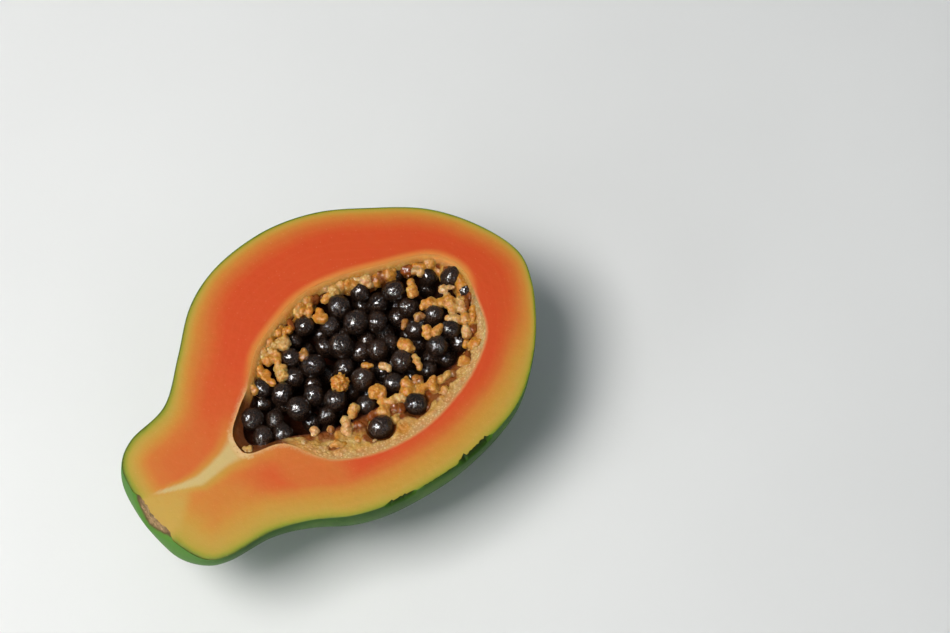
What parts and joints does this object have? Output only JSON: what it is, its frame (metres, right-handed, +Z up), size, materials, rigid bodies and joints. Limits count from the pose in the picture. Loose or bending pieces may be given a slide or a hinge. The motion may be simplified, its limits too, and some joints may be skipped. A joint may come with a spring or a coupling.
{
  "type": "papaya half",
  "caption": "Half of a small pear-shaped papaya cut lengthwise, lying on its green skin, with orange flesh round a hollow of pale pith and dark seeds.",
  "frame": {"origin": "middle of the length and of the width, level with the flat spot of skin that the half lies on", "axes": "+X from the stem end to the blossom end, +Y across to the left of that, +Z up out of the cut face"},
  "size_m": [0.1516, 0.1068, 0.0496],
  "materials": {
    "flesh": "moist orange fruit flesh turning yellow and green under a smooth dark green skin",
    "pith": "wet cream and amber pith in soft clumps",
    "seed": "wrinkled black-brown seeds in a clear glossy gel"
  },
  "bodies": {
    "root": {"flesh": "flesh", "pith": "pith", "seeds": "seed"}
  },
  "joints": []
}
